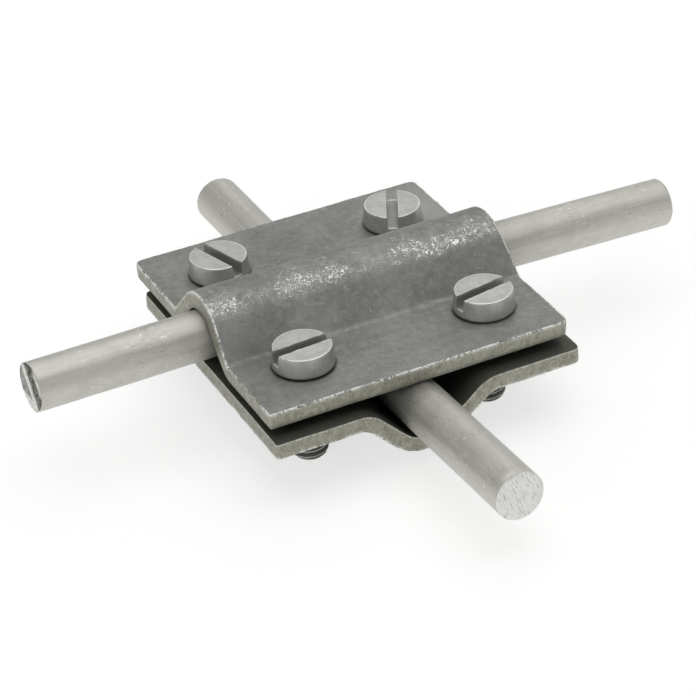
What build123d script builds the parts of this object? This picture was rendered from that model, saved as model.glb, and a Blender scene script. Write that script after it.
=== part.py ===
from build123d import *
from math import cos, radians, sin, tan
import os

# Cross connector clamp for two round conductors that cross at a right angle.
# Two pressed steel plates, turned a quarter turn to each other, close over the crossing:
# the ridge of the upper plate holds the upper conductor, the groove of the lower plate
# holds the lower one, and four slotted cheese head screws pull the plates together.
# Millimetres, Z up. The origin is the point where the two conductors meet.
# X runs along the upper conductor and Y along the lower one.

# Conductors
conductor_diameter = 8.0
crossing_gap = 0.04
clamp_exit_margin = 0.6
upper_reach_left = 53.9
upper_reach_right = 58.4
upper_droop_left = 0.4
upper_droop_right = 1.9
lower_reach_front = 55.4
lower_reach_back = 51.5
lower_rise_front = 2.6
lower_droop_back = 0.4
lower_lean = 12.5
worn_end_rounding = 0.7
cut_end_chamfer = 0.25

# Pressed plates
plate_thickness = 2.65
flange_gap = 1.8
seat_gap = 0.08
crown_relief = 1.1
flank_angle = 47.0
foot_radius = 1.5
plate_corner_radius = 1.2
side_distance = 10.5
end_distance = 9.95
upper_plate_shift_x = -0.57
upper_plate_shift_y = 0.3
lower_plate_shift_x = 0.0
lower_plate_shift_y = -2.0

# Screws, M6 with slotted cheese heads, screwed into the lower plate
thread_diameter = 6.0
screw_length = 16.3
tip_chamfer = 0.7
head_diameter = 9.9
head_height = 3.45
head_taper_angle = 5.0
head_edge_chamfer = 0.3
head_underside_chamfer = 0.4
slot_width = 1.8
slot_depth = 2.0
slot_angles = {"front_left": 3.4, "front_right": 9.6, "back_left": -73.2, "back_right": 64.2}
clearance_hole_diameter = 6.6
thread_clearance = 0.05
head_margin = 0.05
pattern_shift_x = 0.83
pattern_shift_y = 0.35

# Heights that follow from the conductors and the gap between the plates
conductor_radius = conductor_diameter / 2
conductor_axis_height = crossing_gap / 2 + conductor_radius
crown_inner_height = conductor_axis_height + conductor_radius + seat_gap
flange_inner_height = flange_gap / 2
flange_outer_height = flange_inner_height + plate_thickness
ridge_rise = crown_inner_height - flange_inner_height
crown_inner_radius = conductor_radius + crown_relief

# The pressed section, worked out from its flank angle
ridge_apex = ridge_rise + crown_inner_radius * (1 / cos(radians(flank_angle)) - 1)
flank_foot = ridge_apex / tan(radians(flank_angle))
foot_inner_radius = foot_radius + plate_thickness
foot_end = flank_foot + foot_inner_radius * tan(radians(flank_angle / 2))

# The screws stand as close to the ridge as their heads allow, and the plates reach past them
head_radius = head_diameter / 2
head_top_radius = head_radius - head_height * tan(radians(head_taper_angle))
head_seat_radius = head_radius - head_underside_chamfer
thread_radius = thread_diameter / 2
screw_offset = foot_end + head_seat_radius + head_margin + abs(pattern_shift_y)
plate_half_width = screw_offset + side_distance
plate_half_length = screw_offset + end_distance
corner_signs = {"front_left": (-1, -1), "front_right": (1, -1), "back_left": (-1, 1), "back_right": (1, 1)}

# Middles of the plates, and where the conductors leave the clamp and run on straight
upper_plate_x = pattern_shift_x + upper_plate_shift_x
upper_plate_y = pattern_shift_y + upper_plate_shift_y
lower_plate_x = pattern_shift_x + lower_plate_shift_x
lower_plate_y = pattern_shift_y + lower_plate_shift_y
exit_left = clamp_exit_margin - min(upper_plate_x - plate_half_length, lower_plate_x - plate_half_width)
exit_right = clamp_exit_margin + max(upper_plate_x + plate_half_length, lower_plate_x + plate_half_width)
exit_front = clamp_exit_margin - min(upper_plate_y - plate_half_width, lower_plate_y - plate_half_length)
exit_back = clamp_exit_margin + max(upper_plate_y + plate_half_width, lower_plate_y + plate_half_length)


def pressed_section(section_plane, shift_across):
    """Cross section of a plate, drawn with x across the channel and y away from the other plate.

    The inner line is flange, flank, crown, flank, flange, and each of its corners is a tangent arc.
    The outer line runs parallel to it, one plate thickness away. The flanges are cut off so that
    the plate's middle lies shift_across to the side of the channel's middle.
    """
    with BuildSketch(section_plane) as section:
        with BuildLine() as outline:
            FilletPolyline(
                (shift_across - plate_half_width, 0),
                (-flank_foot, 0),
                (0, ridge_apex),
                (flank_foot, 0),
                (shift_across + plate_half_width, 0),
                radius=[foot_inner_radius, crown_inner_radius, foot_inner_radius],
            )
            offset(amount=plate_thickness, side=Side.LEFT)
        make_face()
    return section.sketch


def bent_route(route_plane, ends):
    """Centre line of a conductor that the clamp has bent a little over the crossing.

    It starts at the plane's origin, level with x, and each of its two ends is one arc that reaches
    the clamp's edge and a straight run beyond. An end is its direction along x, the distance of
    the clamp's edge, the angle by which it turns towards y, and its reach along x.
    """
    with BuildLine(route_plane) as route:
        for direction, clamp_edge, turn, reach in ends:
            bend_radius = clamp_edge / sin(radians(abs(turn)))
            bend = JernArc((0, 0), (direction, 0), bend_radius, direction * turn)
            free_length = (reach - clamp_edge) / cos(radians(turn))
            Line(bend @ 1, (bend @ 1) + (bend % 1) * free_length)
    return route.line


os.makedirs("parts", exist_ok=True)

# Upper plate: the ridge runs along X and the screws pass through clearance holes
upper_section = Plane(origin=(upper_plate_x, 0, flange_inner_height), x_dir=(0, 1, 0), z_dir=(1, 0, 0))
with BuildPart() as upper_plate:
    extrude(pressed_section(upper_section, upper_plate_y), amount=plate_half_length, both=True)
    fillet(upper_plate.edges().filter_by(Axis.Z), plate_corner_radius)
    with Locations((pattern_shift_x, pattern_shift_y, flange_outer_height)):
        with GridLocations(2 * screw_offset, 2 * screw_offset, 2, 2):
            Hole(clearance_hole_diameter / 2, depth=plate_thickness)
upper_plate.part.label = "upper_plate"
export_step(upper_plate.part, "parts/upper_plate.step")

# Lower plate: the same pressing turned over, its groove along Y, with the four threaded holes
lower_section = Plane(origin=(0, lower_plate_y, -flange_inner_height), x_dir=(1, 0, 0), z_dir=(0, 1, 0))
with BuildPart() as lower_plate:
    extrude(pressed_section(lower_section, lower_plate_x), amount=plate_half_length, both=True)
    fillet(lower_plate.edges().filter_by(Axis.Z), plate_corner_radius)
    with Locations((pattern_shift_x, pattern_shift_y, -flange_inner_height)):
        with GridLocations(2 * screw_offset, 2 * screw_offset, 2, 2):
            Hole(thread_radius + thread_clearance, depth=plate_thickness)
lower_plate.part.label = "lower_plate"
export_step(lower_plate.part, "parts/lower_plate.step")

# Screws: turned head and shank, then the slot, each turned as it came to rest when tightened
for corner, (side_x, side_y) in corner_signs.items():
    screw_x = pattern_shift_x + side_x * screw_offset
    screw_y = pattern_shift_y + side_y * screw_offset
    turning_plane = Plane(origin=(screw_x, screw_y, flange_outer_height), x_dir=(1, 0, 0), z_dir=(0, -1, 0))
    slot_plane = Plane(
        origin=(screw_x, screw_y, flange_outer_height + head_height),
        x_dir=(cos(radians(slot_angles[corner])), sin(radians(slot_angles[corner])), 0),
        z_dir=(0, 0, 1),
    )
    with BuildPart() as screw:
        with BuildSketch(turning_plane) as half_section:
            with BuildLine() as outline:
                Polyline(
                    (0, head_height),
                    (0, -screw_length),
                    (thread_radius - tip_chamfer, -screw_length),
                    (thread_radius, -screw_length + tip_chamfer),
                    (thread_radius, 0),
                    (head_seat_radius, 0),
                    (head_radius, head_underside_chamfer),
                    (head_top_radius, head_height),
                    (0, head_height),
                )
            make_face()
        revolve(axis=Axis(turning_plane.origin, (0, 0, 1)))
        head_rim = screw.edges().group_by(Axis.Z)[-1]
        chamfer(head_rim, head_edge_chamfer)
        with BuildSketch(slot_plane) as slot:
            Rectangle(3 * head_radius, slot_width)
        extrude(amount=-slot_depth, mode=Mode.SUBTRACT)
    screw.part.label = "screw_" + corner
    export_step(screw.part, "parts/screw_" + corner + ".step")

# Upper conductor: it droops on both sides of the crossing, and its right end is worn round
upper_axis = Plane(origin=(0, 0, conductor_axis_height), x_dir=(1, 0, 0), z_dir=(0, -1, 0))
upper_route = bent_route(
    upper_axis,
    [
        (-1, exit_left, -upper_droop_left, upper_reach_left),
        (1, exit_right, -upper_droop_right, upper_reach_right),
    ],
)
with BuildPart() as upper_conductor:
    with BuildSketch(Plane(origin=upper_route @ 0, z_dir=upper_route % 0)) as upper_bar:
        Circle(conductor_radius)
    sweep(path=upper_route)
    chamfer(upper_conductor.edges().group_by(Axis.X)[0], cut_end_chamfer)
    fillet(upper_conductor.edges().group_by(Axis.X)[-1], worn_end_rounding)
upper_conductor.part.label = "upper_conductor"
export_step(upper_conductor.part, "parts/upper_conductor.step")

# Lower conductor: it rises in front of the crossing, in a plane that leans to the right
lower_axis = Plane(
    origin=(0, 0, -conductor_axis_height),
    x_dir=(0, 1, 0),
    z_dir=(cos(radians(lower_lean)), 0, -sin(radians(lower_lean))),
)
lower_route = bent_route(
    lower_axis,
    [
        (-1, exit_front, lower_rise_front, lower_reach_front),
        (1, exit_back, -lower_droop_back, lower_reach_back),
    ],
)
with BuildPart() as lower_conductor:
    with BuildSketch(Plane(origin=lower_route @ 0, z_dir=lower_route % 0)) as lower_bar:
        Circle(conductor_radius)
    sweep(path=lower_route)
    chamfer(lower_conductor.edges().group_by(Axis.Y)[0], cut_end_chamfer)
    chamfer(lower_conductor.edges().group_by(Axis.Y)[-1], cut_end_chamfer)
lower_conductor.part.label = "lower_conductor"
export_step(lower_conductor.part, "parts/lower_conductor.step")
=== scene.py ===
from math import cos, pi, radians, sin, sqrt, tan

import bmesh
import bpy
import numpy as np
from mathutils import Matrix, Vector


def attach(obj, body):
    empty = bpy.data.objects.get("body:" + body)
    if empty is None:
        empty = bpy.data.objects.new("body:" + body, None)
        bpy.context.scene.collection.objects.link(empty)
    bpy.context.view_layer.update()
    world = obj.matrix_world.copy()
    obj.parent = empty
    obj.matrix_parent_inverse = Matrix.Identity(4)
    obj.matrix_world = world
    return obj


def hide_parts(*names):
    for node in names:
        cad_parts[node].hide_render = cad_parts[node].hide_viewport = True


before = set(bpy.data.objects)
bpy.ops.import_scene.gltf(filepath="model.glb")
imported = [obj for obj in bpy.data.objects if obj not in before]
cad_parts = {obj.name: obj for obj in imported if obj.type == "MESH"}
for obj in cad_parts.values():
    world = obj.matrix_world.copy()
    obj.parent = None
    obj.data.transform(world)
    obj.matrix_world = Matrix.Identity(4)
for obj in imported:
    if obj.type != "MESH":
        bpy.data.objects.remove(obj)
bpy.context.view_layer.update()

# All sizes below are in millimetres, as in the part's source, and a mesh is scaled to metres when made.
millimetre = 0.001

# Points weld when they fall on the same step of a fine grid, which is shifted a little so that round
# sizes stay clear of its borders
weld_steps = 20000
weld_shift = 0.13

# Conductors
rod_radius = 4.0
rod_axis_height = 4.02
upper_rod_reach = (53.9, 58.4)
upper_rod_turn = (-0.4, -1.9)
lower_rod_reach = (55.4, 51.5)
lower_rod_turn = (2.6, -0.4)
lower_rod_lean = 12.5
clamp_exit_margin = 0.6
cut_slant = 0.3

# Pressed plates
plate_thickness = 2.65
flange_inner_height = 0.9
ridge_rise = 7.2
crown_radius = 5.1
flank_angle = radians(47.0)
foot_radius = 1.5 + plate_thickness
plate_corner_radius = 1.2
sharp_corner_radius = 0.45
hole_bevel = 0.12
end_pull_in = 0.45
lean_height = 6.0
lean_reach = 4.0
wave_height = 0.035
wave_sink = 0.03

# How far the screws lie out from the ridge's foot, and a plate's sides and ends out from the screws
foot_to_screw = 4.95
screw_to_side = 10.5
screw_to_end = 9.95

# Spacing of a plate's lines: beyond the holes, between them along and across, and the last two at an edge
border_spacing = 0.7
length_spacing = 0.6
flange_spacing = 0.5
edge_lines_in = (0.75, 0.3)

# The sheared rim, from the outer face (0) to the inner one (1): depth, inset, roughness, share of the burr
edge_inset = 0.16
rim_profile = [
    (0, edge_inset, 0, 0), (0.012, 0.09, 0, 0.6), (0.035, 0.03, 0, 1), (0.075, 0.0, 0.3, 1),
    (0.2, -0.01, 0.7, 0.5), (0.38, 0.0, 1, 0.2), (0.55, 0.02, 1, 0), (0.72, 0.05, 1, 0),
    (0.86, 0.08, 0.8, 0), (0.95, 0.10, 0.4, 0), (1, edge_inset, 0, 0),
]
rim_roughness = 0.05
burr_height = 0.06
burr_reach = 0.22
# How far in from a plate's edges the painted shade on its inner face deepens
gap_shade_reach = 4.5
whole_outline = 200.0

# Screws
thread_radius = 3.0
thread_root_radius = 2.42
thread_pitch = 1.0
screw_length = 16.3
neck_radius = 2.68
tip_radius = 2.25
slot_half_width = 0.9
slot_depth = 2.0
slot_edge = 0.07
slot_burr = 0.05
# Painted shade, as shares of a dark olive: in the slot, on the head's sides and on the thread
slot_shade = 0.42
side_shade = 0.20
thread_shade = 0.72
head_height = 3.45
slot_angles = {"front_left": 3.4, "front_right": 9.6, "back_left": -73.2, "back_right": 64.2}
corner_signs = {"front_left": (-1, -1), "front_right": (1, -1), "back_left": (-1, 1), "back_right": (1, 1)}
clearance_hole_radius = 3.3
threaded_hole_radius = 3.05

# The middle of the four screws from the crossing, and each plate's middle from there
pattern_x = 0.83
pattern_y = 0.35
upper_plate_shift = (-0.57, 0.3)
lower_plate_shift = (0.0, -2.0)

# The floor: its height, how far it reaches in metres, how white its plain part is, and how much of
# the floor that is to the camera
floor_height = -12.75
floor_reach = 3.0
floor_white = 1.35
floor_white_share = 0.5

# The light: the surround's strength, and each lamp's place and size in metres and its power
surround_strength = 0.33
lamps = {
    "overhead_lamp": ((0.08, 0.02, 0.85), 1.10, 4.0),
    "back_lamp": ((0.45, 0.66, 0.48), 0.60, 0.50),
    "left_lamp": ((-0.74, -0.38, 0.30), 0.45, 0.85),
}

# The lower plate was pressed a little softer: flank angle and foot radius of its groove, right and left
groove_right = (radians(40.0), 3.5 + plate_thickness)
groove_left = (radians(45.6), 2.7 + plate_thickness)
ridge_side = (flank_angle, foot_radius)


def foot_reach(angle, radius):
    """How far from the middle a flank's foot runs out into the flat flange."""
    apex = ridge_rise + crown_radius * (1 / cos(angle) - 1)
    return apex / tan(angle) + radius * tan(angle / 2)


# Places that follow from the ridge, worked out as in the part's source
screw_offset = foot_reach(flank_angle, foot_radius) + foot_to_screw
half_width = screw_offset + screw_to_side
half_length = screw_offset + screw_to_end
flange_outer_height = flange_inner_height + plate_thickness
upper_plate_middle = (pattern_x + upper_plate_shift[0], pattern_y + upper_plate_shift[1])
lower_plate_middle = (pattern_x + lower_plate_shift[0], pattern_y + lower_plate_shift[1])


# Shared helpers for the meshes

def ripple(x, seed, longest, shortest, waves=9):
    """A smooth wandering value about 0: the mean of sines whose wavelengths run from longest to shortest."""
    random = np.random.default_rng(seed)
    lengths = np.geomspace(longest, shortest, waves)
    phases = random.uniform(0, 2 * pi, waves)
    return sum(np.sin(2 * pi * x / length + phase) for length, phase in zip(lengths, phases)) / sqrt(waves)


def unevenness(a, b, seed, longest, shortest, waves=14):
    """A smooth wandering value over a surface: the mean of plane waves in scattered directions."""
    random = np.random.default_rng(seed)
    lengths = np.geomspace(longest, shortest, waves)
    turns = random.uniform(0, 2 * pi, waves)
    phases = random.uniform(0, 2 * pi, waves)
    total = 0
    for length, turn, phase in zip(lengths, turns, phases):
        total = total + np.sin(2 * pi * (a * cos(turn) + b * sin(turn)) / length + phase)
    return total / sqrt(waves)


def smooth_step(x):
    """0 below 0, 1 above 1, and an even cubic ease between."""
    x = np.clip(x, 0, 1)
    return x * x * (3 - 2 * x)


def weld(grids):
    """Joins grids of points into one mesh. Points that fall together become one, so seams and poles close.

    A grid is an array of rows by columns by values, the first three values being x, y and z. With it
    comes None, or a mask of the cells that are kept.
    """
    points, quads, start = [], [], 0
    for grid, kept in grids:
        rows, columns = grid.shape[:2]
        index = start + np.arange(rows * columns).reshape(rows, columns)
        cells = np.stack([index[:-1, :-1], index[1:, :-1], index[1:, 1:], index[:-1, 1:]], -1)
        quads.append(cells.reshape(-1, 4) if kept is None else cells[kept])
        points.append(grid.reshape(rows * columns, -1))
        start += rows * columns
    points, quads = np.concatenate(points), np.concatenate(quads)
    keys = np.round(points[:, :3] * weld_steps + weld_shift).astype(np.int64)
    _, first, back = np.unique(keys, axis=0, return_index=True, return_inverse=True)
    quads = back.reshape(-1)[quads]
    apart = quads != np.roll(quads, 1, axis=1)
    crossed = (quads[:, 0] == quads[:, 2]) | (quads[:, 1] == quads[:, 3])
    four = quads[(apart.sum(1) == 4) & ~crossed]
    corner = (apart.sum(1) == 3) & ~crossed
    three = quads[corner][apart[corner]].reshape(-1, 3)
    used = np.unique(np.concatenate([four.ravel(), three.ravel()]))
    renumber = np.zeros(len(first), np.int64)
    renumber[used] = np.arange(len(used))
    return points[first][used], renumber[four].tolist() + renumber[three].tolist()


def add_object(name, data):
    """A new object in the scene."""
    added = bpy.data.objects.new(name, data)
    bpy.context.scene.collection.objects.link(added)
    return added


def move_points(grids, move):
    """The grids with each point moved: move gives the new x, y and z from the old ones."""
    moved = []
    for grid, kept in grids:
        xyz = np.stack(move(grid[..., 0], grid[..., 1], grid[..., 2]), -1)
        moved.append((np.concatenate([xyz, grid[..., 3:]], -1), kept))
    return moved


def make_piece(name, grids, value_names, sharp_angle):
    """A mesh object in metres from grids in millimetres, with the extra grid values as point attributes."""
    points, faces = weld(grids)
    mesh = bpy.data.meshes.new(name)
    mesh.from_pydata((points[:, :3] * millimetre).tolist(), [], faces)
    for column, value_name in enumerate(value_names):
        attribute = mesh.attributes.new(value_name, "FLOAT", "POINT")
        attribute.data.foreach_set("value", points[:, 3 + column].astype(np.float32))
    shell = bmesh.new()
    shell.from_mesh(mesh)
    bmesh.ops.recalc_face_normals(shell, faces=shell.faces)
    shell.to_mesh(mesh)
    shell.free()
    mesh.shade_smooth()
    mesh.set_sharp_from_angle(angle=radians(sharp_angle))
    return add_object(name, mesh)


def finish_piece(piece, body, node, material):
    """Gives the piece its finish, sets it on its body and lets it stand for the solid of the frame."""
    piece.data.materials.append(material)
    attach(piece, body)
    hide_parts(node)


# Materials

class Nodes:
    """Short calls for building one material's node tree."""

    def __init__(self, name):
        self.material = bpy.data.materials.new(name)
        self.material.use_nodes = True
        self.tree = self.material.node_tree
        self.shader = self.tree.nodes["Principled BSDF"]
        self.new = self.tree.nodes.new
        self.coords = self.new("ShaderNodeTexCoord").outputs["Object"]

    def fill(self, node, values):
        """Sets a node's inputs to numbers and colours, or links them to outputs. Gives the node back."""
        for socket, value in values.items():
            if isinstance(value, bpy.types.NodeSocket):
                self.tree.links.new(value, node.inputs[socket])
            else:
                node.inputs[socket].default_value = value
        return node

    def add(self, kind, values):
        """A new node with its inputs filled."""
        return self.fill(self.new(kind), values)

    def mapped(self, scale=(1000, 1000, 1000), location=(0, 0, 0), turn=(0, 0, 0)):
        """Object coordinates, turned and then stretched; a scale of 1000 makes a unit one millimetre."""
        values = {"Vector": self.coords, "Location": location, "Rotation": turn}
        turned = self.add("ShaderNodeMapping", values).outputs[0]
        return self.add("ShaderNodeMapping", {"Vector": turned, "Scale": scale}).outputs[0]

    def noise(self, vector, scale=1.0, detail=4.0, roughness=0.55, distortion=0.0):
        """Cloudy noise, about 0.5 on average."""
        node = self.add("ShaderNodeTexNoise", {"Vector": vector, "Scale": scale, "Detail": detail})
        return self.fill(node, {"Roughness": roughness, "Distortion": distortion}).outputs["Fac"]

    def math(self, operation, a, b=0.0, clamp=False):
        """One arithmetic step."""
        node = self.new("ShaderNodeMath")
        node.operation = operation
        node.use_clamp = clamp
        return self.fill(node, {0: a, 1: b}).outputs[0]

    def times(self, a, b):
        """One value times another."""
        return self.math("MULTIPLY", a, b)

    def ramp(self, value, low, high, to_low=0.0, to_high=1.0):
        """Maps low..high to to_low..to_high and holds the ends."""
        node = self.new("ShaderNodeMapRange")
        node.interpolation_type = "SMOOTHSTEP"
        self.fill(node, {"Value": value, "From Min": low, "From Max": high})
        return self.fill(node, {"To Min": to_low, "To Max": to_high}).outputs["Result"]

    def mix(self, factor, a, b):
        """Blends two colours, each three numbers or an output."""
        node = self.new("ShaderNodeMix")
        node.data_type = "RGBA"
        a, b = ((*shade, 1.0) if isinstance(shade, tuple) else shade for shade in (a, b))
        return self.fill(node, {0: factor, 6: a, 7: b}).outputs[2]

    def layered(self, base, *layers):
        """Lays colours over a base, one after the other.

        A layer is a value, the two levels between which its colour comes in, its cover and its colour.
        """
        for value, low, high, cover, tint in layers:
            base = self.mix(self.ramp(value, low, high, 0.0, cover), base, tint)
        return base

    def attribute(self, name):
        """A point value of the mesh."""
        node = self.new("ShaderNodeAttribute")
        node.attribute_name = name
        return node.outputs["Fac"]

    def split(self, vector):
        """The three parts of a vector."""
        return self.add("ShaderNodeSeparateXYZ", {0: vector}).outputs

    def joined(self, x, y, z=0.0):
        """A vector from its three parts."""
        return self.add("ShaderNodeCombineXYZ", {0: x, 1: y, 2: z}).outputs[0]

    def length(self, vector):
        """How long a vector is."""
        node = self.new("ShaderNodeVectorMath")
        node.operation = "LENGTH"
        return self.fill(node, {0: vector}).outputs["Value"]

    def hole_distance(self):
        """Distance in millimetres, seen from above, to the axis of the nearest screw."""
        parts = self.split(self.mapped(location=(-pattern_x * millimetre, -pattern_y * millimetre, 0)))
        x, y = (self.math("SUBTRACT", self.math("ABSOLUTE", part), screw_offset) for part in parts[:2])
        return self.length(self.joined(x, y))

    def bump(self, height, distance, strength, before=None):
        """Bends the surface's normal by a height field; distance is in metres."""
        node = self.add("ShaderNodeBump", {"Distance": distance, "Strength": strength, "Height": height})
        if before is not None:
            self.fill(node, {"Normal": before})
        return node.outputs["Normal"]


def galvanised(name, plate):
    """Hot dipped zinc on sheet steel.

    Cloudy grey with fine pale and dark specks, curled bright rub marks on the crown, a painted shadow
    in a dark ring around each screw, a warm sheared rim with a pale broken burr, and painted shade on
    the inner faces. The plate's facts say how far the painted shadow around a screw reaches, how bright
    the rim's inner edge is, and how dark the rim is beside it.
    """
    n = Nodes(name)
    place = (0.01 * plate["seed"], 0.007 * plate["seed"], 0)
    millimetres = n.mapped(location=place)
    clouds = n.noise(millimetres, scale=0.10, detail=5, roughness=0.6)
    grains = n.noise(millimetres, scale=0.8, detail=6, roughness=0.68, distortion=0.5)
    specks = n.noise(millimetres, scale=4.6, detail=3, roughness=0.6)
    pits = n.noise(n.mapped(location=(0.3, 0.1, 0)), scale=2.3, detail=3, roughness=0.7)
    smears = n.noise(n.mapped((110, 700, 700), location=place, turn=(0, 0, 0.25)), detail=5)
    grey = n.mix(n.ramp(clouds, 0.34, 0.66), (0.240, 0.245, 0.226), (0.320, 0.326, 0.306))
    grey = n.layered(
        grey,
        (grains, 0.46, 0.72, 0.40, (0.41, 0.41, 0.39)),
        (grains, 0.44, 0.28, 0.40, (0.165, 0.168, 0.150)),
        (smears, 0.58, 0.74, 0.40, (0.46, 0.46, 0.45)),
        (specks, 0.62, 0.70, 0.70, (0.60, 0.60, 0.58)),
        (pits, 0.66, 0.72, 0.70, (0.10, 0.10, 0.085)),
    )

    # Rub marks on the crown, and scratches
    curls = n.noise(millimetres, scale=0.95, detail=1.5, roughness=0.5, distortion=1.3)
    hairs = n.ramp(n.math("ABSOLUTE", n.math("SUBTRACT", curls, 0.5)), 0.042, 0.012)
    chopped = n.ramp(n.noise(millimetres, scale=1.35, detail=2, roughness=0.6), 0.44, 0.53)
    dots = n.ramp(specks, 0.58, 0.63)
    patches = n.ramp(n.noise(millimetres, scale=0.24, detail=3, roughness=0.6), 0.30, 0.54)
    worn = n.times(n.attribute("crest"), patches)
    marks = n.math("MAXIMUM", n.times(hairs, chopped), n.times(dots, 0.6))
    scratches = n.noise(n.mapped((300, 2600, 2600), location=place, turn=(0, 0, 0.5)), detail=2)
    grey = n.mix(n.times(worn, 0.35), grey, (0.43, 0.43, 0.42))
    grey = n.layered(
        grey,
        (n.times(worn, marks), 0.06, 0.42, 1.0, (0.98, 0.98, 0.96)),
        (scratches, 0.67, 0.75, 0.5, (0.60, 0.60, 0.58)),
    )

    # A painted shadow: a dark ring around each screw, where its head or thread meets the plate
    uneven = n.math("ADD", n.hole_distance(), n.times(grains, 0.5))
    screw_shadow_radius = plate["screw_shadow_radius"]
    grey = n.layered(grey, (uneven, screw_shadow_radius, screw_shadow_radius - 0.5, 0.80, (0.035, 0.034, 0.028)))

    # The sheared rim, darker towards its inner edge, which is bright in places
    depth = n.attribute("depth")
    streaks = n.noise(n.mapped((1100, 1100, 650), location=place), detail=6, roughness=0.70)
    sheared = n.mix(n.ramp(streaks, 0.36, 0.64), (0.285, 0.28, 0.218), (0.42, 0.414, 0.350))
    sheared = n.layered(
        sheared,
        (specks, 0.57, 0.66, 0.6, (0.64, 0.64, 0.59)),
        (specks, 0.42, 0.34, 0.5, (0.13, 0.128, 0.10)),
        (depth, 0.66, 0.98, plate["inner_shade"], (0.15, 0.148, 0.12)),
    )
    broken = n.ramp(n.noise(millimetres, scale=1.9, roughness=0.75), 0.45, 0.53, 0.15, 1.0)
    inner_edge = n.times(n.ramp(depth, 0.84, 0.93, 0.0, plate["inner_burr"]), broken)
    sheared = n.mix(inner_edge, sheared, (0.80, 0.80, 0.76))
    grey = n.mix(n.attribute("rim"), grey, sheared)

    # Patches painted paler or darker: partly zinc tone, partly painted light and shade, such as the upper
    # plate's pale back right where the light falls and its dark front left flank
    tone = n.attribute("tone")
    grey = n.mix(tone, grey, (0.50, 0.50, 0.48))
    grey = n.mix(n.math("MULTIPLY", tone, -1.0, clamp=True), grey, (0.13, 0.13, 0.115))

    # The burr, in pale crumbs with dark gaps
    edge = n.attribute("burr")
    clumps = n.noise(millimetres, scale=0.32, detail=3)
    crumbled = n.noise(millimetres, scale=3.0, detail=3, roughness=0.7)
    crumbs = n.ramp(n.math("ADD", crumbled, n.times(clumps, 0.8)), 0.84, 0.93, 0.05, 1.0)
    gaps = n.ramp(crumbled, 0.46, 0.38, 0.0, 0.75)
    grey = n.mix(n.times(edge, crumbs), grey, (0.98, 0.98, 0.95))
    grey = n.mix(n.times(edge, gaps), grey, (0.12, 0.12, 0.10))

    # Painted shade on the inner face between the plates, darkest far from the edges, with its specular
    # lowered as well
    gap_shade_colour = n.mix(n.attribute("deep"), (0.112, 0.110, 0.088), (0.036, 0.036, 0.030))
    grey = n.mix(n.ramp(depth, 0.94, 1.0, 0.0, 0.90), grey, gap_shade_colour)

    fine = n.bump(specks, 0.00006, 0.45)
    n.fill(n.shader, {
        "Base Color": grey,
        "Specular IOR Level": n.ramp(depth, 0.94, 1.0, 0.5, 0.1),
        "Metallic": 0.55,
        "Roughness": n.ramp(grains, 0.3, 0.7, 0.60, 0.46),
        "Normal": n.bump(grains, 0.00012, 0.55, before=fine),
    })
    return n.material


def turned_steel(name, x, y):
    """Zinc plated turned steel: rings on the head's top, pale edges, painted shade in slot, sides and
    thread.
    """
    n = Nodes(name)
    centred = n.mapped(location=(-x * millimetre, -y * millimetre, 0))
    parts = n.split(centred)
    from_axis = n.length(n.joined(parts[0], parts[1]))
    rings = n.noise(n.joined(from_axis, 0.0, parts[2]), scale=7.0, detail=2)
    clouds = n.noise(centred, scale=0.5)
    stains = n.noise(centred, scale=1.3, detail=5, roughness=0.65)
    flecks = n.noise(centred, scale=3.1, roughness=0.7)
    tint = n.mix(n.ramp(clouds, 0.35, 0.65), (0.53, 0.538, 0.51), (0.63, 0.635, 0.615))
    tint = n.layered(
        tint,
        (stains, 0.54, 0.76, 0.60, (0.33, 0.338, 0.30)),
        (rings, 0.4, 0.65, 0.25, (0.72, 0.72, 0.71)),
        (flecks, 0.66, 0.74, 0.7, (0.16, 0.16, 0.13)),
    )
    edge = n.attribute("bright")
    whole, chipped = n.ramp(flecks, 0.36, 0.44), n.ramp(flecks, 0.40, 0.34, 0.0, 0.7)
    tint = n.mix(n.times(edge, whole), tint, (0.95, 0.95, 0.93))
    tint = n.mix(n.times(edge, chipped), tint, (0.10, 0.10, 0.08))
    # Painted shade in the slot, on the head's sides, under its rim and on the thread
    tint = n.mix(n.attribute("grime"), tint, (0.090, 0.086, 0.064))
    n.fill(n.shader, {
        "Base Color": tint,
        "Metallic": 0.75,
        "Roughness": n.ramp(stains, 0.3, 0.7, 0.38, 0.50),
        "Normal": n.bump(flecks, 0.00003, 0.35, before=n.bump(rings, 0.00002, 0.25)),
    })
    return n.material


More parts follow.
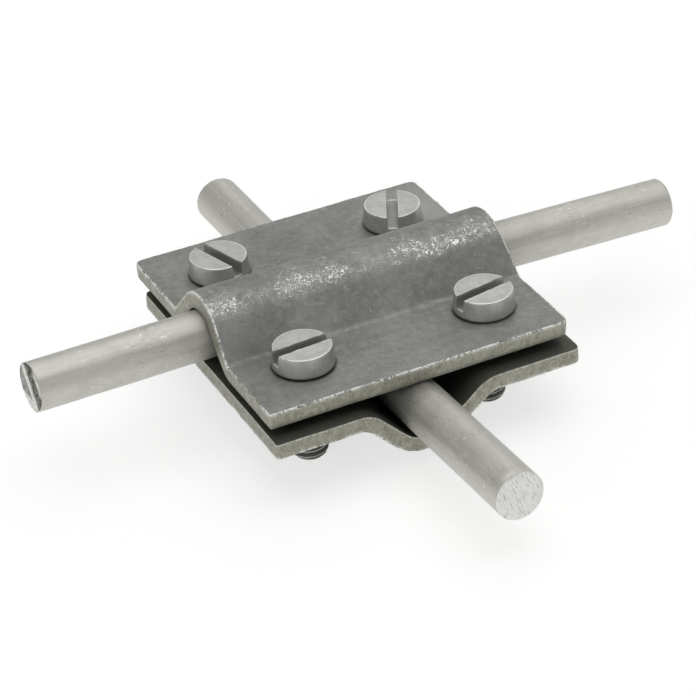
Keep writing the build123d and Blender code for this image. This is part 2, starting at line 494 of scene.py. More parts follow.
def drawn_aluminium(name, along):
    """Satin drawn aluminium.

    Fine marks along the rod, scuffs in patches, painted shade with dark specks beside the clamp,
    streaked and pale where it was cut, with painted shade on the cropped face's groove and facets.
    """
    def drawn_out(lengthwise, crosswise):
        """A scale for marks that run along the rod."""
        return (lengthwise, crosswise, crosswise) if along == "x" else (crosswise, lengthwise, crosswise)

    n = Nodes(name)
    millimetres = n.mapped()
    lines = n.noise(n.mapped(drawn_out(45, 2600)), detail=3, roughness=0.6)
    bands = n.noise(n.mapped(drawn_out(30, 500)), detail=3, roughness=0.5)
    scuffs = n.noise(n.mapped(drawn_out(900, 2300), turn=(0, 0, 0.12)), detail=3, roughness=0.65)
    clouds = n.noise(millimetres, scale=0.25)
    nicks = n.noise(millimetres, scale=1.6, roughness=0.7)
    specks = n.noise(millimetres, scale=3.6, roughness=0.7)
    tint = n.mix(n.ramp(bands, 0.35, 0.65), (0.62, 0.606, 0.555), (0.70, 0.688, 0.642))
    tint = n.layered(
        tint,
        (lines, 0.52, 0.72, 0.35, (0.85, 0.845, 0.82)),
        (lines, 0.44, 0.30, 0.25, (0.50, 0.49, 0.44)),
        (clouds, 0.48, 0.70, 0.40, (0.54, 0.53, 0.49)),
    )
    scuffed = n.ramp(n.noise(millimetres, scale=0.16, detail=2), 0.44, 0.62)
    rubbed, scored = n.ramp(scuffs, 0.60, 0.68, 0.0, 0.75), n.ramp(scuffs, 0.40, 0.32, 0.0, 0.55)
    tint = n.mix(n.times(scuffed, rubbed), tint, (0.97, 0.97, 0.95))
    tint = n.mix(n.times(scuffed, scored), tint, (0.36, 0.35, 0.31))
    tint = n.layered(
        tint,
        (nicks, 0.66, 0.73, 0.7, (0.30, 0.29, 0.25)),
        (specks, 0.63, 0.72, 0.6, (0.92, 0.92, 0.90)),
    )
    # Painted shade on the rod beside the clamp's edge, where the plates shade it, patchy with darker specks
    soiled = n.attribute("soiled")
    uneven_shade, spots = n.ramp(clouds, 0.30, 0.62, 0.45, 1.0), n.ramp(specks, 0.54, 0.64)
    tint = n.mix(n.times(soiled, uneven_shade), tint, (0.30, 0.295, 0.265))
    tint = n.mix(n.math("MINIMUM", n.times(soiled, spots), 0.8), tint, (0.12, 0.115, 0.09))

    # The cut faces
    cut = n.attribute("cut")
    torn = n.noise(n.mapped((4200, 1500, 650), turn=(0, cut_slant, 0)), detail=5, roughness=0.65)
    face = n.mix(n.ramp(torn, 0.34, 0.50), (0.60, 0.59, 0.54), (0.99, 0.985, 0.955))
    face = n.layered(face, (specks, 0.64, 0.72, 0.5, (0.46, 0.45, 0.40)))
    # Painted shade on the cropped face's groove and facets, a little over the whole face, and less specular
    soot = n.times(n.attribute("soot"), n.ramp(torn, 0.36, 0.66, 1.0, 0.70))
    tint = n.mix(soot, n.mix(cut, tint, face), (0.070, 0.067, 0.045))
    marks = n.bump(lines, 0.00002, 0.4)
    n.fill(n.shader, {
        "Base Color": tint,
        "Specular IOR Level": n.ramp(soot, 0.1, 0.9, 0.5, 0.05),
        "Metallic": n.ramp(cut, 0.0, 1.0, 0.65, 0.30),
        "Roughness": n.ramp(bands, 0.3, 0.7, 0.46, 0.60),
        "Normal": n.bump(nicks, 0.00004, 0.35, before=marks),
    })
    return n.material


# Pressed plates

def section_half(flange_stations, angle, foot_bend):
    """Stations from the crown's top to the plate's edge: distance across, height, and the normal's angle.

    The inner line is an arc over the crown, a straight flank, an arc at the foot and the flat flange.
    """
    crown = np.linspace(0, angle, 17)
    foot = np.linspace(angle, 0, 11)
    foot_c = foot_reach(angle, foot_bend) - foot_bend * np.sin(foot)
    foot_h = foot_bend * (1 - np.cos(foot))
    crown_c = crown_radius * np.sin(crown)
    crown_h = ridge_rise - crown_radius + crown_radius * np.cos(crown)
    share = np.linspace(0, 1, 7)[1:-1]
    flank_c = crown_c[-1] + share * (foot_c[0] - crown_c[-1])
    flank_h = crown_h[-1] + share * (foot_h[0] - crown_h[-1])
    level = np.zeros(len(flange_stations))
    across = np.concatenate([crown_c, flank_c, foot_c, flange_stations])
    height = np.concatenate([crown_h, flank_h, foot_h, level])
    turn = np.concatenate([crown, np.full(len(share), angle), foot, level])
    return across, height, turn


def stretch_lines(start, end, spacing):
    """Evenly spaced lines from start to end, without the first."""
    count = max(1, int(round(abs(end - start) / spacing)))
    return np.linspace(start, end, count + 1)[1:]


def edge_lines(start, edge, spacing):
    """Lines from start to a plate's edge, without the first, with two close ones at the edge."""
    inward = 1 if start > edge else -1
    outer, last = (edge + step * inward for step in edge_lines_in)
    return np.concatenate([stretch_lines(start, outer, spacing), [last, edge]])


def round_corner(a, c, middle_a, middle_c):
    """Pulls the square corners of the outline round, and gives the outline's outward direction.

    In a corner's square, x and y from 0 to 1 become x sqrt(1 - y y / 2) and y sqrt(1 - x x / 2). The
    front left corner stayed sharper than the others.
    """
    middle = np.reshape([middle_a, middle_c], (2, 1, 1))
    half = np.reshape([half_length, half_width], (2, 1, 1))
    place = np.stack([a, c])
    side = np.sign(place - middle)
    r = np.where((side < 0).all(0), sharp_corner_radius, plate_corner_radius)
    past = (np.abs(place - middle) - (half - r)) / r
    corner, on_edge = (past > 0).all(0), past > 1 - 1e-6
    square = np.clip(past, 0, 1)
    rounded = square * np.sqrt(1 - square[::-1] ** 2 / 2)
    place = np.where(corner, middle + side * (half - r + r * rounded), place)
    outward = np.where(corner, side * rounded, np.where(on_edge, side, 0.0))
    length = np.maximum(np.hypot(*outward), 1e-9)
    return *place, *np.where(on_edge.any(0), outward / length, 0.0)


def plate_grids(plate):
    """Grids of one pressed plate in its own frame: a along the ridge, c across it, h off the other plate.

    Two faces, the sheared rim between them, and around each hole a ring that turns from a square
    block of the face's grid to a circle, with the hole's wall between the two rings.
    """
    middle_a, middle_c = plate["middle"]
    hole_a, hole_c = plate["holes"]
    hole_block, seed = plate["hole_block"], plate["seed"]
    low_a, high_a = middle_a - half_length, middle_a + half_length
    blocks_a = [hole_a - screw_offset, hole_a + screw_offset]
    blocks_c = [hole_c - screw_offset, hole_c + screw_offset]
    blocks = [(block_a, block_c) for block_a in blocks_a for block_c in blocks_c]
    cells = 8
    block = np.linspace(-hole_block, hole_block, cells + 1)
    lines_a = np.concatenate([
        edge_lines(blocks_a[0] - hole_block, low_a, border_spacing)[::-1],
        blocks_a[0] + block,
        stretch_lines(blocks_a[0] + hole_block, blocks_a[1] - hole_block, length_spacing)[:-1],
        blocks_a[1] + block,
        edge_lines(blocks_a[1] + hole_block, high_a, border_spacing),
    ])

    halves = []
    edges = ((1, blocks_c[1], middle_c + half_width), (-1, -blocks_c[0], half_width - middle_c))
    for (side, hole, edge), (angle, foot_bend) in zip(edges, plate["sides"]):
        flange = np.concatenate([
            stretch_lines(foot_reach(angle, foot_bend), hole - hole_block, flange_spacing)[:-1],
            hole + block,
            edge_lines(hole + hole_block, edge, border_spacing),
        ])
        across, height, turn = section_half(flange, angle, foot_bend)
        halves.append((side * across, height, side * turn))
    right, left = halves
    across, height, turn = (np.concatenate([le[:0:-1], ri]) for le, ri in zip(left, right))

    a, c = np.meshgrid(lines_a, across, indexing="ij")
    h = np.broadcast_to(height, a.shape)
    g = np.broadcast_to(turn, a.shape)
    flat_a, flat_c, out_a, out_c = round_corner(a, c, middle_a, middle_c)
    rubbed = sum(strength * np.exp(-((a - place) / width) ** 2) for place, width, strength in plate["rubs"])
    lean = np.degrees(g)
    shoulder = np.exp(-((lean + 27) / 12) ** 2) + 0.30 * np.exp(-(lean / 14) ** 2)
    crest = np.clip(0.30 + rubbed, 0, 1) * shoulder * (h > 3)
    # Painted shade for the inner face, deepening away from the plate's edges
    from_edge = np.minimum(half_length - np.abs(a - middle_a), half_width - np.abs(c - middle_c))
    deep = smooth_step(from_edge / gap_shade_reach)

    def light_and_tone_at(along, over):
        """Paler (above 0) or darker (below 0) at places: part zinc tone, part painted light and shade."""
        return sum(amount * np.exp(-((along - x) ** 2 + (over - y) ** 2) / width ** 2)
                   for x, y, width, amount in plate["light_and_tone_patches"])

    def face(depth, inset):
        """The face at a share of the thickness, 0 outside and 1 inside, its edge set in a little."""
        lift = plate_thickness * (1 - depth)
        return np.stack([
            flat_a - inset * out_a,
            flat_c - inset * out_c + lift * np.sin(g),
            h + lift * np.cos(g),
            np.full(a.shape, float(depth)),
            np.zeros(a.shape),
            np.where((out_a != 0) | (out_c != 0), 1.0, 0.0) * (1 - depth),
            crest * (1 - depth),
            deep,
            light_and_tone_at(a, c) * (1 - depth),
        ], -1)

    mid_a = (lines_a[1:] + lines_a[:-1]) / 2
    mid_c = (across[1:] + across[:-1]) / 2
    kept = np.ones((len(lines_a) - 1, len(across) - 1), bool)
    for block_a, block_c in blocks:
        kept &= ~np.outer(np.abs(mid_a - block_a) < hole_block, np.abs(mid_c - block_c) < hole_block)

    grids = [(face(0, edge_inset), kept), (face(1, edge_inset), kept)]

    # The rim: the outline's points in order, carried from the outer face to the inner one
    def around(grid):
        """The border of a grid as one closed row."""
        return np.concatenate([grid[:, 0], grid[-1, 1:], grid[-2::-1, -1], grid[0, -2::-1]])

    outer, inner = around(face(0, 0)), around(face(1, 0))
    outward = np.stack([around(out_a), around(out_c), np.zeros(len(outer))], -1)
    steps = np.linalg.norm(np.diff(outer[:, :3], axis=0), axis=1)
    walked = np.concatenate([[0], np.cumsum(steps)]) * whole_outline / steps.sum()
    crumbs = np.clip(ripple(walked, seed + 9, 3.3, 1.2, 6), 0, 2)
    bite = np.zeros(len(outer))
    for nick_a, nick_c, width, size in plate["nicks"]:
        bite += size * np.exp(-((outer[:, 0] - nick_a) ** 2 + (outer[:, 1] - nick_c) ** 2) / width ** 2)
    rim = []
    for depth, inset, rough, burred in rim_profile:
        wander = rough * rim_roughness * ripple(walked + depth * 1.5, seed, 21, 1.1, 12)
        row = outer + depth * (inner - outer)
        row[:, :3] -= (inset + wander + bite * (burred if depth > 0 else 0))[:, None] * outward
        row[:, 2] += burr_height * crumbs * burred
        row[:, 3] = depth
        row[:, 4] = 1.0 if 0 < depth < 1 else 0.6
        row[:, 5] = max(0.0, 1 - depth / burr_reach)
        row[:, 6] = 0
        row[-1] = row[0]
        rim.append(row)
    grids.append((np.array(rim), None))

    # Around each hole: a ring on each face, and the hole's wall
    ring = np.concatenate([
        np.stack([block[:-1], np.full(cells, -hole_block)], -1),
        np.stack([np.full(cells, hole_block), block[:-1]], -1),
        np.stack([-block[:-1], np.full(cells, hole_block)], -1),
        np.stack([np.full(cells + 1, -hole_block), -block], -1),
    ])
    angle = np.arctan2(ring[:, 1], ring[:, 0])
    circle = np.stack([np.cos(angle), np.sin(angle)], -1)

    def ring_row(centre, share, radius, depth):
        """A row at a share of the way from a hole's square block to its circle."""
        values = np.zeros((len(ring), 9))
        flat = (1 - share) * ring + share * radius * circle
        values[:, :2] = centre + flat
        values[:, 2] = plate_thickness * (1 - depth)
        values[:, 3] = depth
        values[:, 7] = 1
        values[:, 8] = light_and_tone_at(values[:, 0], values[:, 1]) * (1 - depth)
        return values

    radius = plate["hole_radius"]
    wall = ((0, hole_bevel), (0.04, 0), (0.3, 0), (0.6, 0), (0.96, 0), (1, hole_bevel))
    for centre in blocks:
        for depth in (0, 1):
            rows = [ring_row(centre, share, radius + hole_bevel, depth) for share in np.linspace(0, 1, 5)]
            grids.append((np.array(rows), None))
        rows = [ring_row(centre, 1, radius + grow, depth) for depth, grow in wall]
        grids.append((np.array(rows), None))
    return grids


def settle_plate(grids, middle_a, seed, flip):
    """Bends the plate as the press left it, and turns its coordinates to the object's.

    The crown's ends lean in towards the middle by end_pull_in at their top, most on the outer face,
    and the whole plate waves by a few hundredths of a millimetre. The upper plate's ridge runs along
    X. The lower plate is flipped, and its groove runs along Y.
    """
    settled = []
    for grid, kept in grids:
        a, c, h, depth = (grid[..., k] for k in range(4))
        rise = np.clip((h - plate_thickness) / lean_height, 0, 1)
        near_end = smooth_step((np.abs(a - middle_a) - (half_length - lean_reach)) / lean_reach)
        a = a - end_pull_in * rise * (1 - 0.8 * depth) * near_end * np.sign(a - middle_a)
        h = h + (wave_height * unevenness(grid[..., 0], c, seed, 40, 9) - wave_sink)
        xyz = (c, a, -flange_inner_height - h) if flip else (a, c, flange_inner_height + h)
        settled.append((np.concatenate([np.stack(xyz, -1), grid[..., 3:]], -1), kept))
    return settled


def make_plate(name, node, body, plate, flip):
    """One pressed plate."""
    grids = settle_plate(plate_grids(plate), plate["middle"][0], plate["seed"], flip)
    piece = make_piece(name, grids, ["depth", "rim", "burr", "crest", "deep", "tone"], 38)
    finish_piece(piece, body, node, galvanised(name + "_zinc", plate))


# Screws

head_profile_heights = [0.0, 0.05, 0.16, 0.32, 0.50, 3.20, 3.32, 3.40, 3.438, 3.45]
head_profile_radii = [4.40, 4.60, 4.79, 4.90, 4.93, 4.695, 4.668, 4.62, 4.57, 4.51]


def head_radius(z):
    """The head's radius at a height above its seat: a rounded lower edge, a taper and a rounded rim."""
    return np.interp(z, head_profile_heights, head_profile_radii)


def slot_reach(z):
    """Half the slot's width at a height: its edge is broken by a small bevel at the top."""
    return slot_half_width + np.maximum(0, slot_edge - (head_height - z))


def arc_angles(z, count):
    """Angles along one side of the head, from one end of the slot to the other, at each height."""
    start = np.arcsin(slot_reach(z) / head_radius(z))
    share = np.linspace(0, 1, count)
    return start[..., None] + (pi - 2 * start[..., None]) * share


def screw_grids(seed):
    """Grids of one slotted screw about its own axis, its head's seat at height 0 and its slot along x."""
    columns, floor_rows = 37, 7
    floor = head_height - slot_depth
    upper_z = np.array([3.45, 3.438, 3.40, 3.36, 3.32, 3.26, 3.20, 2.8, 2.4, 2.0, floor])
    lower_z = np.array([floor, 1.1, 0.8, 0.6, 0.50, 0.41, 0.32, 0.24, 0.16, 0.10, 0.05, 0.0])
    grids = []

    def grid_of(x, y, z, bright, grime):
        """A whole grid from the coordinates, the edge brightness and the painted shade, all brought to one
        shape.
        """
        return np.stack(np.broadcast_arrays(x, y, z, bright, grime), -1).astype(float), None

    top = arc_angles(np.array([head_height]), columns)[0]
    top_radius, top_reach = head_radius(head_height), slot_reach(head_height)
    side_angles = arc_angles(upper_z, columns)
    side_radii = head_radius(upper_z)[:, None]
    side_bright = np.where(upper_z > 3.39, 0.8, 0.0)[:, None]
    # Painted shade on the head's sides below the rim, and in the slot growing with depth
    head_side_shade = np.where(upper_z > 3.39, 0.0, side_shade)[:, None]
    wall_y = slot_reach(upper_z)[:, None]
    wall_shade = slot_shade * smooth_step((head_height - 0.12 - upper_z) / 0.5)[:, None]
    for sign in (1, -1):
        share = np.array([0, 0.03, 0.1, 0.25, 0.45, 0.65, 0.82, 0.94, 1.0])[:, None]
        x = sign * top_radius * np.cos(top)[None, :]
        y = (1 - share) * top_reach + share * top_radius * np.sin(top)[None, :]
        bright = np.where((share < 0.02) | (share > 0.97), 1.0, 0.0)
        grids.append(grid_of(x, sign * y, head_height, bright, 0))
        side_x = sign * side_radii * np.cos(side_angles)
        side_y = sign * side_radii * np.sin(side_angles)
        grids.append(grid_of(side_x, side_y, upper_z[:, None], side_bright, head_side_shade))
        grids.append(grid_of(side_x, sign * wall_y, upper_z[:, None], 0, wall_shade))

    floor_radius = head_radius(floor)
    strip = slot_half_width * np.linspace(1, -1, floor_rows)[:, None]
    spread = (np.cos(side_angles[-1]) / np.cos(side_angles[-1][0]))[None, :]
    at_mouth = smooth_step((np.abs(spread) - 0.90) / 0.08)
    floor_x = np.sqrt(floor_radius ** 2 - strip ** 2) * spread
    # Painted shade on the slot's floor, except where it opens at the ends
    grids.append(grid_of(floor_x, strip, floor, 0.8 * at_mouth, slot_shade * (1 - at_mouth)))

    def loop_angles(z):
        """Angles of the whole circle, its columns in line with the slot's walls and floor."""
        side = arc_angles(z, columns)
        ends = slot_half_width * np.linspace(1, -1, floor_rows)[None, :]
        slot_end = np.arcsin(ends / head_radius(z)[:, None])
        parts = [side, pi - slot_end[:, 1:], pi + side[:, 1:], 2 * pi - slot_end[:, 1:]]
        return np.concatenate(parts, axis=1)

    def turned(radii, angles, heights, bright, grime):
        """A grid about the screw's axis."""
        return grid_of(radii * np.cos(angles), radii * np.sin(angles), heights, bright, grime)

    angles = loop_angles(lower_z)
    # Painted shade under the head's lower edge, growing into the thread's
    low_share = smooth_step((0.40 - lower_z) / 0.35)[:, None]
    low_shade = side_shade + (thread_shade - side_shade) * low_share
    grids.append(turned(head_radius(lower_z)[:, None], angles, lower_z[:, None], 0, low_shade))

    # Underside, neck, thread and tip follow on the same columns
    turn = angles[-1][None, :]
    rows_per_pitch = 12
    thread_top, thread_end = -0.55, -screw_length
    thread_z = np.linspace(thread_top, thread_end, int(-(thread_end - thread_top) * rows_per_pitch))
    phase = (thread_z[:, None] / thread_pitch - turn / (2 * pi)) % 1.0
    flank = np.clip((np.abs(2 * phase - 1) - 0.14) / 0.70, 0, 1)
    shank = thread_root_radius + (thread_radius - thread_root_radius - 0.02) * flank
    tip_cone = tip_radius + (thread_z[:, None] - thread_end)
    fade = smooth_step((thread_top - thread_z[:, None]) / 0.9)
    shank = np.minimum(neck_radius * (1 - fade) + shank * fade, tip_cone)
    under = np.array([head_radius(0.0), 4.2, 3.6, 3.0, 2.78, neck_radius])[:, None]
    under_z = np.array([0.0, 0.0, 0.0, 0.0, -0.06, -0.25])[:, None]
    cap = shank[-1][None, :] * np.array([0.8, 0.55, 0.3, 0.0])[:, None]
    all_r = np.concatenate([under + 0 * turn, shank, cap])
    all_z = np.concatenate([under_z, thread_z[:, None], np.full((len(cap), 1), thread_end)])
    # Painted shade on the thread, lighter on the crests, which also get a painted highlight
    crests = np.clip((all_r - 2.85) / 0.13, 0, 1)
    soiled = thread_shade * (1 - 0.45 * crests)
    grids.append(turned(all_r, turn, all_z, 0.3 * crests, soiled))

    def raise_burr(x, y, z):
        """The milling cutter left a small burr along the slot, uneven from place to place."""
        close = np.exp(-((np.abs(y) - slot_half_width) / 0.13) ** 2)
        uneven = 0.6 + 0.7 * ripple(x + np.sign(y) * 4, seed, 5, 0.6)
        lift = slot_burr * close * smooth_step((z - (head_height - 0.25)) / 0.2) * uneven
        return x, y, z + np.where(np.abs(y) > slot_half_width - 1e-6, lift, 0)

    return move_points(grids, raise_burr)


def make_screw(corner, seed):
    """One screw, turned so that its slot lies as in the clamp."""
    side_x, side_y = corner_signs[corner]
    x = pattern_x + side_x * screw_offset
    y = pattern_y + side_y * screw_offset
    turn = radians(slot_angles[corner])
    placed = move_points(screw_grids(seed), lambda u, v, z: (
        x + u * cos(turn) - v * sin(turn), y + u * sin(turn) + v * cos(turn), flange_outer_height + z))
    piece = make_piece("slotted_screw_" + corner, placed, ["bright", "grime"], 40)
    material = turned_steel("screw_zinc_" + corner, x, y)
    finish_piece(piece, corner + "_screw", "screw_" + corner, material)


# Conductors

def exit_distance(axis, side):
    """How far from the crossing the clamp's edge lies, plus a margin."""
    k = "xy".index(axis)
    upper_half, lower_half = [(half_length, half_width), (half_width, half_length)][k]
    return clamp_exit_margin + max(side * upper_plate_middle[k] + upper_half,
                                   side * lower_plate_middle[k] + lower_half)


def rod_route(s, exits, turns):
    """Centre line of a rod: place and direction at arc length s from the crossing.

    Each side is one arc that ends at the clamp's edge, and straight from there on.
    """
    ahead = s > 0
    side = np.where(ahead, 1, -1)
    turn = np.radians(np.where(ahead, turns[1], turns[0]))
    bend = np.where(ahead, exits[1], exits[0]) / np.sin(np.abs(turn))
    arc = bend * np.abs(turn)
    angle = np.minimum(np.abs(s), arc) / bend
    rest = np.maximum(np.abs(s) - arc, 0)
    along = side * (bend * np.sin(angle) + rest * np.cos(turn))
    off = np.sign(turn) * bend * (1 - np.cos(angle)) + rest * np.sin(turn)
    return along, off, side * np.sign(turn) * angle


def rod_length(reach, clamp_edge, turn):
    """Arc length from the crossing to the end face."""
    turn = radians(abs(turn))
    return clamp_edge / sin(turn) * turn + (reach - clamp_edge) / cos(turn)


def make_rod(name, node, axis, reaches, turns, lean, rims, reliefs, clamp_shade, seed):
    """A drawn rod: a circle carried along the route, with a worked face at each end.

    rims gives each end's edge rounding, reliefs a function that gives how far each point of the end
    face stands out and its painted shade, from its place on the face; a pair per side gives the painted
    shade on the rod at the clamp's edge, and over what distance that fades.
    """
    exits = [exit_distance(axis, -1), exit_distance(axis, 1)]
    lengths = [rod_length(r, e, t) for r, e, t in zip(reaches, exits, turns)]
    if axis == "x":
        forward, sideways = np.array([1, 0, 0]), np.array([0, 0, 1])
        origin = np.array([0, 0, rod_axis_height])
    else:
        forward, sideways = np.array([0, 1, 0]), np.array([sin(radians(lean)), 0, cos(radians(lean))])
        origin = np.array([0, 0, -rod_axis_height])
    other = np.cross(sideways, forward)
    psi = np.linspace(0, 2 * pi, 97)

    # Rows: out over the first end face, along the wall, and in over the second one
    close_reach, spacing = 2.4, 0.6
    rows = []
    for side, length, rim in zip((-1, 1), lengths, rims):
        bend = np.linspace(0, pi / 2, 7)
        edge_r = rod_radius - rim + rim * np.cos(bend)
        edge_s = length - rim + rim * np.sin(bend)
        near_s = np.linspace(length - rim - close_reach, length - rim, 7)[:-1]
        face_r = np.linspace(rod_radius - rim, 0, 26)[1:]
        r = np.concatenate([np.full(len(near_s), rod_radius), edge_r, face_r])
        s = np.concatenate([near_s, edge_s, np.full(len(face_r), length)])
        rows.append((r, s * side))
    wall_start = -(lengths[0] - rims[0] - close_reach) + spacing
    wall = np.arange(wall_start, lengths[1] - rims[1] - close_reach - spacing / 2, spacing)

    (first_r, first_s), (second_r, second_s) = rows
    r = np.concatenate([first_r[::-1], np.full(len(wall), rod_radius), second_r])
    s = np.concatenate([first_s[::-1], wall, second_s])
    r, s = np.broadcast_arrays(r[:, None], s[:, None])
    r, s = np.repeat(r, len(psi), axis=1), np.repeat(s, len(psi), axis=1)
    turn = np.broadcast_to(psi, r.shape)
    u, v = r * np.cos(turn), r * np.sin(turn)
    marks = sum(unevenness(s * 0.25, circle * 9, seed + step, 9, 2.2)
                for step, circle in enumerate((np.cos(turn), np.sin(turn))))
    r_used = r - np.where(r > rod_radius - 1e-6, 0.012 * (1.4 + marks), 0)
    cut, soot, soiled = (np.zeros(r.shape) for _ in range(3))
    for side, length, relief, clamp_edge, (strength, reach) in zip((-1, 1), lengths, reliefs, exits, clamp_shade):
        at_end = np.sign(s) == side
        # Painted shade on the rod, fading away from the clamp's edge
        fade = strength * np.exp(-np.maximum(np.abs(s) - clamp_edge + clamp_exit_margin, 0) / reach)
        soiled = np.where(at_end, fade, soiled)
        stand, shrink, shade = relief(u, v, length - np.abs(s), r)
        s = np.where(at_end, s + side * stand, s)
        r_used = np.where(at_end, r_used - shrink, r_used)
        on_face = (length - np.abs(s) < 0.12) & at_end | ((r < rod_radius - 0.3) & at_end)
        cut = np.where(on_face, 1.0, cut)
        # The end face's painted shade, as its relief function gives it
        soot = np.where(at_end, np.where(r < rod_radius - 1e-6, shade, soot), soot)
    along, off, heading = rod_route(s, exits, turns)
    u, v = r_used * np.cos(turn), r_used * np.sin(turn)
    xyz = (origin + along[..., None] * forward + off[..., None] * sideways
           + u[..., None] * (np.cos(heading)[..., None] * sideways - np.sin(heading)[..., None] * forward)
           + v[..., None] * other)
    grid = np.concatenate([xyz, cut[..., None], soot[..., None], soiled[..., None]], -1)
    grid[:, -1] = grid[:, 0]
    piece = make_piece(name, [(grid, None)], ["cut", "soot", "soiled"], 40)
    finish_piece(piece, "clamp_base", node, drawn_aluminium(name + "_metal", axis))


def cropped_end(u, v, inside, r):
    """A bolt cropper's cut. u is up and v is towards the back; w runs from the low back to the high front.

    The jaws left a sharp ridge, a facet that falls away in front of it towards a pale lip, and one
    behind. Both facets carry painted shade, and a little lies over the whole face. Nothing stands out
    past the rod's length.
    """
    face = smooth_step((0.35 - inside) / 0.3)
    w = 0.615 * u - 0.788 * v
    front_slope = -0.17 * np.clip(w - 0.9, 0, 4) * smooth_step((2.4 - inside) / 2.2)
    ridge = 0.10 * np.exp(-((w - 0.5) / 0.4) ** 2)
    tears = 0.04 * unevenness(w * 3.0, v * 0.8, 71, 9, 1.5)
    shaded_facet = 0.90 * np.exp(-((w - 2.15) / 1.05) ** 8)
    shaded_back = 0.66 * smooth_step((0.0 - w) / 0.3) * smooth_step((u + 2.4) / 0.8)
    return front_slope + (ridge + tears - 0.12) * face, 0 * u, 0.10 + shaded_facet + shaded_back


def worn_end(u, v, inside, r):
    """A worn end: nearly flat, a little domed, with shallow dents."""
    face = smooth_step((0.8 - inside) / 0.8)
    return face * (0.03 * unevenness(u, v, 83, 6, 1.5) - 0.012 * r ** 2 / 4), 0 * u, 0 * u


def sawn_end(u, v, inside, r):
    """A sawn end: saw marks across the face, a few pits, and one bruised place on the rim."""
    face = smooth_step((0.2 - inside) / 0.2)
    across = v * cos(0.9) - u * sin(0.9)
    saw = 0.035 * ripple(across, 91, 3.0, 0.5) + 0.015 * unevenness(u, v, 92, 4, 0.8)
    toward = np.arctan2(u, v)
    bruise = np.exp(-((toward - 1.05) / 0.28) ** 2) * np.clip(1 - inside / 1.3, 0, 1)
    return saw * face, 0.38 * bruise, 0 * u


def rough_back_end(u, v, inside, r):
    """A cut end that isn't seen from the front: shallow saw marks."""
    face = smooth_step((0.2 - inside) / 0.2)
    return 0.03 * ripple(u * 0.7 + v * 0.7, 95, 3.0, 0.5) * face, 0 * u, 0 * u


# A plate's own facts, along its ridge and across it: flank angle and foot radius on its two sides; rub
# marks on the crown (place, width, strength); nicks in the rim (place, width, depth); patches painted
# paler, or darker below 0 (place, width, amount), partly zinc tone and partly painted light and shade;
# how far the painted shadow around a screw reaches from its axis, how bright the rim's inner edge is,
# and how dark the rim is beside it.
upper_plate_facts = {
    "middle": upper_plate_middle,
    "holes": (pattern_x, pattern_y),
    "hole_radius": clearance_hole_radius,
    "hole_block": 4.2,
    "sides": (ridge_side, ridge_side),
    "rubs": [(-22.3, 2.8, 0.6), (-10.3, 2.6, 0.9), (-3.8, 1.8, 0.5),
             (8.5, 2.6, 0.5), (14.5, 4.0, 0.7), (23.0, 2.4, 0.6)],
    "nicks": [(-8.8, -25.6, 0.9, 0.30), (-25.4, 14.6, 0.7, 0.25), (3.1, -25.6, 0.7, 0.15),
              (17.4, -25.6, 0.8, 0.18), (-25.4, -16.2, 0.8, 0.15), (-25.4, 20.5, 0.6, 0.18),
              (25.9, -12.0, 0.9, 0.20), (25.9, 15.0, 0.7, 0.15)],
    # Painted light in the pale patch at the back right, painted shade on the front left flank
    "light_and_tone_patches": [(21.5, 18.0, 8.5, 0.80), (19.0, -20.0, 9.0, 0.20),
              (-17.0, 20.0, 7.0, 0.20), (-20.0, -9.5, 5.5, -0.60)],
    "screw_shadow_radius": 5.65,
    "inner_burr": 0.1,
    "inner_shade": 0.60,
    "seed": 3,
}
lower_plate_facts = {
    "middle": (lower_plate_middle[1], lower_plate_middle[0]),
    "holes": (pattern_y, pattern_x),
    "hole_radius": threaded_hole_radius,
    "hole_block": 3.4,
    "sides": (groove_right, groove_left),
    "rubs": [(-18.0, 4.0, 0.5), (2.0, 5.0, 0.6), (15.0, 3.5, 0.4)],
    "nicks": [(-27.3, -19.0, 0.8, 0.16), (-27.3, 22.5, 0.7, 0.18),
              (-12.0, -25.4, 0.9, 0.20), (10.5, 27.0, 0.8, 0.18)],
    "light_and_tone_patches": [(-15.0, 18.0, 9.0, 0.20), (14.0, -16.0, 8.0, -0.15), (-2.0, -25.4, 22.0, -0.25)],
    "screw_shadow_radius": 4.1,
    "inner_burr": 0.80,
    "inner_shade": 0.1,
    "seed": 5,
}
make_plate("pressed_upper_plate", "upper_plate", "clamp_cover", upper_plate_facts, False)
make_plate("pressed_lower_plate", "lower_plate", "clamp_base", lower_plate_facts, True)
for number, corner in enumerate(corner_signs):
    make_screw(corner, 20 + number)
make_rod("drawn_upper_rod", "upper_conductor", "x", upper_rod_reach, upper_rod_turn, 0,
         rims=(0.25, 0.7), reliefs=(cropped_end, worn_end), clamp_shade=((0.42, 2.4), (0.30, 3.0)), seed=31)
make_rod("drawn_lower_rod", "lower_conductor", "y", lower_rod_reach, lower_rod_turn, lower_rod_lean,
         rims=(0.25, 0.25), reliefs=(sawn_end, rough_back_end), clamp_shade=((0.64, 6.0), (0.24, 6.0)), seed=37)


# Floor, light and camera

def pale_floor():
    """Matt white. To the camera and in reflections half is plain white, the rest takes light and shadow."""
    n = Nodes("pale_floor")
    n.fill(n.shader, {"Base Color": (0.90, 0.90, 0.89, 1.0), "Roughness": 0.9})
    rays = n.new("ShaderNodeLightPath").outputs
    seen = n.math("MAXIMUM", rays["Is Camera Ray"], rays["Is Glossy Ray"])
    seen = n.math("MAXIMUM", seen, rays["Is Transmission Ray"])
    white = n.add("ShaderNodeEmission", {"Strength": floor_white}).outputs[0]
    share = n.times(seen, floor_white_share)
    both = n.add("ShaderNodeMixShader", {0: share, 1: n.shader.outputs[0], 2: white})
    n.fill(n.tree.nodes["Material Output"], {"Surface": both.outputs[0]})
    return n.material


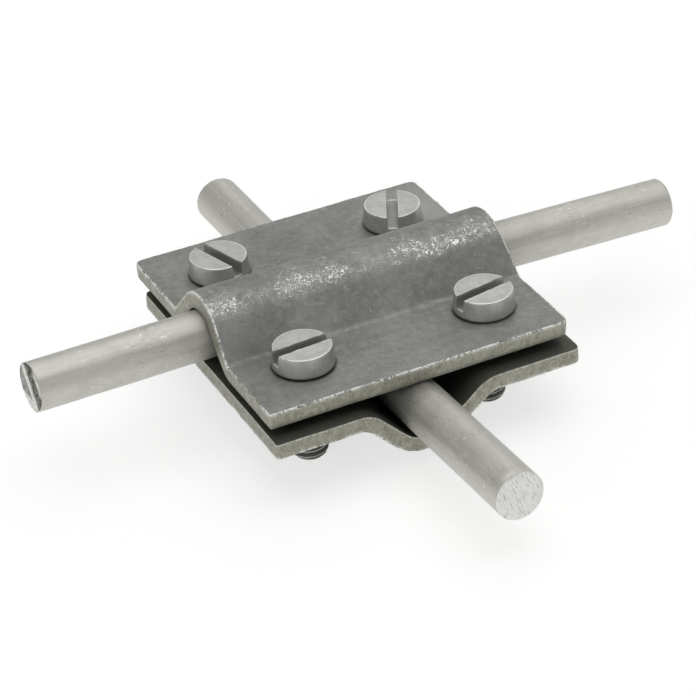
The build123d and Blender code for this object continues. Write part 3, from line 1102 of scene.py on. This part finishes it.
def make_floor():
    """A pale floor under the screw tips, white to the camera where no shadow falls."""
    corners = [(x * floor_reach, y * floor_reach, floor_height * millimetre)
               for x, y in ((-1, -1), (1, -1), (1, 1), (-1, 1))]
    mesh = bpy.data.meshes.new("floor")
    mesh.from_pydata(corners, [], [(0, 1, 2, 3)])
    mesh.materials.append(pale_floor())
    add_object("floor", mesh)


def add_lamp(name, location, size, power):
    """A square soft lamp that looks at the clamp."""
    data = bpy.data.lights.new(name, "AREA")
    data.shape = "SQUARE"
    data.size = size
    data.energy = power
    lamp = add_object(name, data)
    lamp.location = location
    lamp.rotation_euler = (-Vector(location)).to_track_quat("-Z", "Y").to_euler()


def light_the_set():
    """An even pale surround, a broad lamp overhead and weaker ones behind on the right and on the left."""
    world = bpy.data.worlds.new("surround")
    world.use_nodes = True
    background = world.node_tree.nodes["Background"]
    background.inputs["Color"].default_value = (1, 1, 1, 1)
    background.inputs["Strength"].default_value = surround_strength
    bpy.context.scene.world = world
    for name, (location, size, power) in lamps.items():
        add_lamp(name, location, size, power)


def add_camera():
    """The camera of the photograph: its turn, height and roll about the crossing, and its distance."""
    turn, height, roll = radians(24.271), radians(32.474), radians(3.763)
    shift_right, shift_down, distance = -0.0822, -5.837, 446.69
    focal_pixels, frame_pixels, sensor = 2804.4, 696.0, 36.0
    back = np.array([-sin(turn) * cos(height), -cos(turn) * cos(height), sin(height)])
    right = np.cross(-back, [0, 0, 1])
    right /= np.linalg.norm(right)
    down = np.cross(-back, right)
    rolled_right = cos(roll) * right + sin(roll) * down
    rolled_down = -sin(roll) * right + cos(roll) * down
    place = -(shift_right * rolled_right + shift_down * rolled_down - distance * back) * millimetre
    data = bpy.data.cameras.new("camera")
    data.sensor_width = sensor
    data.lens = focal_pixels / frame_pixels * sensor
    data.clip_start = 0.01
    data.clip_end = 20.0
    camera = add_object("camera", data)
    columns = np.array([rolled_right, -rolled_down, back, place]).T
    camera.matrix_world = Matrix([*columns.tolist(), [0, 0, 0, 1]])
    bpy.context.scene.camera = camera


make_floor()
light_the_set()
add_camera()
bpy.context.scene.view_settings.view_transform = "Standard"

bpy.context.view_layer.update()
